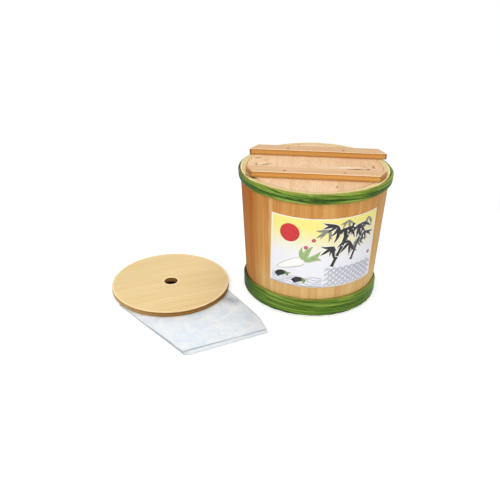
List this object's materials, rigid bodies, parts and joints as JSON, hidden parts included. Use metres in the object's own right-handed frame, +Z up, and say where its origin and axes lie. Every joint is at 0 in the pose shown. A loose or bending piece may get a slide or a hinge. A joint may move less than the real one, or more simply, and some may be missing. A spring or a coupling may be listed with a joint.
{
  "type": "pickling barrel",
  "caption": "Coopered wooden pickling barrel with green rope hoops, a battened lid, a round drop lid with a finger hole and a folded liner bag.",
  "frame": {"origin": "on the floor, under the middle of the outline of everything seen from above: the barrel stands to the right and behind, the drop lid and liner bag lie to the left and in front", "axes": "+Z up; +X from the drop lid towards the barrel; +Y from the front, where the label is, to the back"},
  "size_m": [0.4939, 0.3861, 0.2408],
  "materials": {
    "stave_wood": "planed, satin, orange tan",
    "board_wood": "planed, matt, pale pinkish",
    "batten_wood": "planed, satin",
    "bamboo": "split and turned, satin",
    "nail_steel": "dull, stained",
    "hoop_strand": "glossy green cane",
    "label_paper": "printed, satin",
    "plywood": "sanded, satin, pale yellow",
    "liner_film": "clear film, folded, milky"
  },
  "bodies": {
    "barrel": {"stave_01": "stave_wood", "stave_02": "stave_wood", "stave_03": "stave_wood", "stave_04": "stave_wood", "stave_05": "stave_wood", "stave_06": "stave_wood", "stave_07": "stave_wood", "stave_08": "stave_wood", "stave_09": "stave_wood", "stave_10": "stave_wood", "stave_11": "stave_wood", "stave_12": "stave_wood", "stave_13": "stave_wood", "stave_14": "stave_wood", "stave_15": "stave_wood", "stave_16": "stave_wood", "stave_17": "stave_wood", "stave_18": "stave_wood", "stave_19": "stave_wood", "stave_20": "stave_wood", "stave_21": "stave_wood", "stave_22": "stave_wood", "bottom_board_left": "board_wood", "bottom_board_centre": "board_wood", "bottom_board_right": "board_wood", "bottom_pin_left_front": "bamboo", "bottom_pin_left_back": "bamboo", "bottom_pin_right_front": "bamboo", "bottom_pin_right_back": "bamboo", "upper_hoop": "hoop_strand", "lower_hoop": "hoop_strand", "label": "label_paper", "liner_bag": "liner_film"},
    "lid": {"lid_board_left": "board_wood", "lid_board_centre": "board_wood", "lid_board_right": "board_wood", "lid_pin_left_front": "bamboo", "lid_pin_left_back": "bamboo", "lid_pin_right_front": "bamboo", "lid_pin_right_back": "bamboo", "batten_front": "batten_wood", "batten_back": "batten_wood", "nail_front_left": "nail_steel", "nail_front_right": "nail_steel", "nail_back_left": "nail_steel", "nail_back_right": "nail_steel"},
    "drop_lid": {"drop_lid": "plywood"}
  },
  "joints": [
    {"name": "lid_lift", "type": "slide", "parent": "barrel", "child": "lid", "axis": [0, 0, 1], "range_m": [0, 0.12]},
    {"name": "drop_lid_lift", "type": "slide", "parent": "barrel", "child": "drop_lid", "axis": [0, 0, 1], "range_m": [0, 0.06]}
  ]
}
